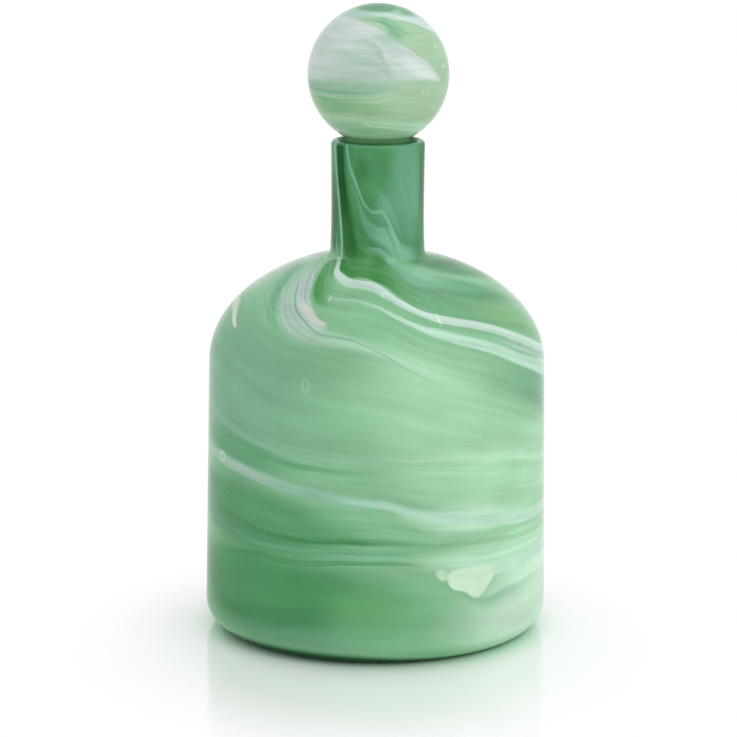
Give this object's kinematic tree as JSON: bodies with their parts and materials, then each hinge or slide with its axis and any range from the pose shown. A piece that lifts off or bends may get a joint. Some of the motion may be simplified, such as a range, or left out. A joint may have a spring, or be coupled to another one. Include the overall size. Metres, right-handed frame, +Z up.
{
  "type": "stopper bottle",
  "caption": "Tall round bottle of marbled glass with a domed shoulder, a straight neck and a hollow ball stopper whose ground stem lifts out of the neck.",
  "frame": {"origin": "middle of the foot, on the surface that the bottle stands on", "axes": "+Z up along the bottle's axis; -Y is the side that the picture shows"},
  "size_m": [0.1808, 0.1808, 0.3294],
  "materials": {
    "bottle_glass": "glossy opaque marbled glass, green with white and pale aqua streaks",
    "stopper_glass": "glossy opaque marbled glass, milky white and pale green"
  },
  "bodies": {
    "bottle": {"bottle": "bottle_glass"},
    "stopper": {"stopper": "stopper_glass"}
  },
  "joints": [
    {"name": "stopper_lift", "type": "slide", "parent": "bottle", "child": "stopper", "axis": [0, 0, 1], "range_m": [0, 0.07]}
  ]
}
